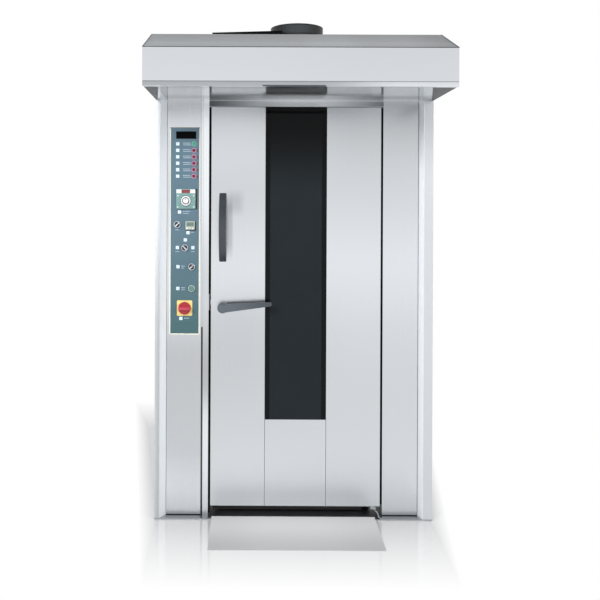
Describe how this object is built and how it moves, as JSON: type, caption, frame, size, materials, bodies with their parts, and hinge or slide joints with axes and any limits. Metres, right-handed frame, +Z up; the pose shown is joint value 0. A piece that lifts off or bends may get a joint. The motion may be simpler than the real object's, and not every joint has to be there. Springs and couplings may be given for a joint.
{
  "type": "rotating rack oven",
  "caption": "Walk-in bakery oven for one wheeled rack, with a turning carrier, a hinged windowed door, a side control column, a deep steam hood, a flue and an entry ramp.",
  "frame": {"origin": "on the floor, in the middle of the outer box of the cabinet with its hood", "axes": "+X to the right as seen from the door side, +Y to the back of the cabinet, +Z up"},
  "size_m": [1.25, 1.88, 2.276],
  "materials": {
    "brushed_stainless": "brushed stainless sheet, upright grain",
    "polished_stainless": "bright polished stainless sheet",
    "lining_stainless": "mill-finish stainless lining",
    "base_steel": "plain stainless plate",
    "mineral_wool": "pressed mineral wool slabs",
    "dark_duct": "dark grey paint, satin",
    "dark_cover": "near-black paint, satin",
    "panel_teal": "grey-teal paint, satin",
    "lamp_lens": "translucent red lenses in bright rings",
    "controller_white": "white front with a green-grey field",
    "timer_grey": "pale grey-beige case",
    "switch_yellow": "yellow",
    "switch_red": "red",
    "knob_black": "black with a bright ring",
    "dial_white": "white",
    "button_green": "green with a bright ring",
    "key_white": "off-white",
    "fitting_steel": "machined steel",
    "handle_grey": "dark grey, satin",
    "drive_paint": "blue-grey machine paint",
    "bearing_iron": "machined iron casting",
    "element_steel": "heat-darkened stainless tube",
    "steam_iron": "bare iron, scaled brown",
    "lamp_glass": "frosted heat-proof glass",
    "window_tint": "dark tinted glass",
    "seal_rubber": "dark silicone rubber",
    "carrier_steel": "stainless plate",
    "fan_steel": "stainless sheet"
  },
  "bodies": {
    "cabinet": {"base_frame": "base_steel", "chamber_floor": "base_steel", "left_side_panel": "brushed_stainless", "right_side_panel": "brushed_stainless", "rear_panel": "brushed_stainless", "roof_panel": "brushed_stainless", "left_corner_post": "polished_stainless", "right_corner_post": "polished_stainless", "control_column_cover": "brushed_stainless", "right_column_cover": "brushed_stainless", "door_surround": "brushed_stainless", "portal_frame": "lining_stainless", "chamber_left_wall": "lining_stainless", "chamber_right_wall": "lining_stainless", "chamber_back_wall": "lining_stainless", "chamber_ceiling": "lining_stainless", "air_wall": "lining_stainless", "insulation": "mineral_wool", "hood_shell": "brushed_stainless", "hood_underside": "polished_stainless", "flue_duct": "dark_duct", "damper_cover": "dark_cover", "control_panel": "panel_teal", "pilot_lamps": "lamp_lens", "temperature_controller": "controller_white", "timer_module": "timer_grey", "main_switch_plate": "switch_yellow", "ramp": "base_steel", "latch_keeper": "fitting_steel", "hinge_brackets": "fitting_steel", "gearmotor": "drive_paint", "carrier_bearing": "bearing_iron", "fan_motor": "drive_paint", "heating_elements": "element_steel", "steam_generator": "steam_iron", "chamber_lamp": "lamp_glass"},
    "door": {"door_frame": "base_steel", "door_left_skin": "brushed_stainless", "door_right_skin": "brushed_stainless", "door_lower_panel": "brushed_stainless", "window_glass": "window_tint", "door_liner": "lining_stainless", "door_gasket": "seal_rubber", "door_sweep": "seal_rubber", "door_insulation": "mineral_wool", "pull_handle": "handle_grey"},
    "latch_lever": {"latch_lever": "handle_grey"},
    "latch_bolt": {"latch_bolt": "fitting_steel"},
    "rack_carrier": {"rack_carrier": "carrier_steel"},
    "fan_impeller": {"fan_impeller": "fan_steel"},
    "flue_damper": {"flue_damper": "fitting_steel"},
    "temperature_dial": {"temperature_dial": "dial_white"},
    "heat_selector": {"heat_selector": "knob_black"},
    "fan_selector": {"fan_selector": "knob_black"},
    "lamp_selector": {"lamp_selector": "knob_black"},
    "start_button": {"start_button": "button_green"},
    "main_switch_handle": {"main_switch_handle": "switch_red"},
    "timer_key_left": {"timer_key_left": "key_white"},
    "timer_key_middle": {"timer_key_middle": "key_white"},
    "timer_key_right": {"timer_key_right": "key_white"}
  },
  "joints": [
    {"name": "door_swing", "type": "hinge", "parent": "cabinet", "child": "door", "pos_m": [0.365, -0.461, 0.95], "axis": [0, 0, 1], "range_deg": [0, 120]},
    {"name": "lever_turn", "type": "hinge", "parent": "door", "child": "latch_lever", "pos_m": [-0.321, -0.5, 0.953], "axis": [0, 1, 0], "range_deg": [0, 40], "stiffness_Nm_per_rad": 12, "springref_deg": -14.32},
    {"name": "bolt_slide", "type": "slide", "parent": "door", "child": "latch_bolt", "axis": [1, 0, 0], "range_m": [0, 0.014]},
    {"name": "carrier_spin", "type": "hinge", "parent": "cabinet", "child": "rack_carrier", "pos_m": [0, 0.094, 1.8], "axis": [0, 0, 1], "continuous": true},
    {"name": "fan_spin", "type": "hinge", "parent": "cabinet", "child": "fan_impeller", "pos_m": [0, 0.687, 1.8], "axis": [0, 0, 1], "continuous": true},
    {"name": "damper_turn", "type": "hinge", "parent": "cabinet", "child": "flue_damper", "pos_m": [0.025, -0.21, 2.174], "axis": [1, 0, 0], "range_deg": [0, 90]},
    {"name": "temperature_turn", "type": "hinge", "parent": "cabinet", "child": "temperature_dial", "pos_m": [-0.491, -0.48, 1.435], "axis": [0, 1, 0], "range_deg": [-135, 135]},
    {"name": "heat_select", "type": "hinge", "parent": "cabinet", "child": "heat_selector", "pos_m": [-0.53, -0.48, 1.327], "axis": [0, 1, 0], "range_deg": [-90, 0]},
    {"name": "fan_select", "type": "hinge", "parent": "cabinet", "child": "fan_selector", "pos_m": [-0.495, -0.48, 1.221], "axis": [0, 1, 0], "range_deg": [0, 90]},
    {"name": "lamp_select", "type": "hinge", "parent": "cabinet", "child": "lamp_selector", "pos_m": [-0.464, -0.48, 1.135], "axis": [0, 1, 0], "range_deg": [-90, 0]},
    {"name": "main_switch_turn", "type": "hinge", "parent": "cabinet", "child": "main_switch_handle", "pos_m": [-0.495, -0.49, 0.947], "axis": [0, 1, 0], "range_deg": [0, 90]},
    {"name": "start_press", "type": "slide", "parent": "cabinet", "child": "start_button", "axis": [0, 1, 0], "range_m": [0, 0.004], "stiffness_N_per_m": 400},
    {"name": "key_left_press", "type": "slide", "parent": "cabinet", "child": "timer_key_left", "axis": [0, 1, 0], "range_m": [0, 0.0015], "stiffness_N_per_m": 400},
    {"name": "key_middle_press", "type": "slide", "parent": "cabinet", "child": "timer_key_middle", "axis": [0, 1, 0], "range_m": [0, 0.0015], "stiffness_N_per_m": 400},
    {"name": "key_right_press", "type": "slide", "parent": "cabinet", "child": "timer_key_right", "axis": [0, 1, 0], "range_m": [0, 0.0015], "stiffness_N_per_m": 400}
  ],
  "couplings": [
    {"joint": "bolt_slide", "follows": "lever_turn", "m_per_rad": 0.020054}
  ]
}
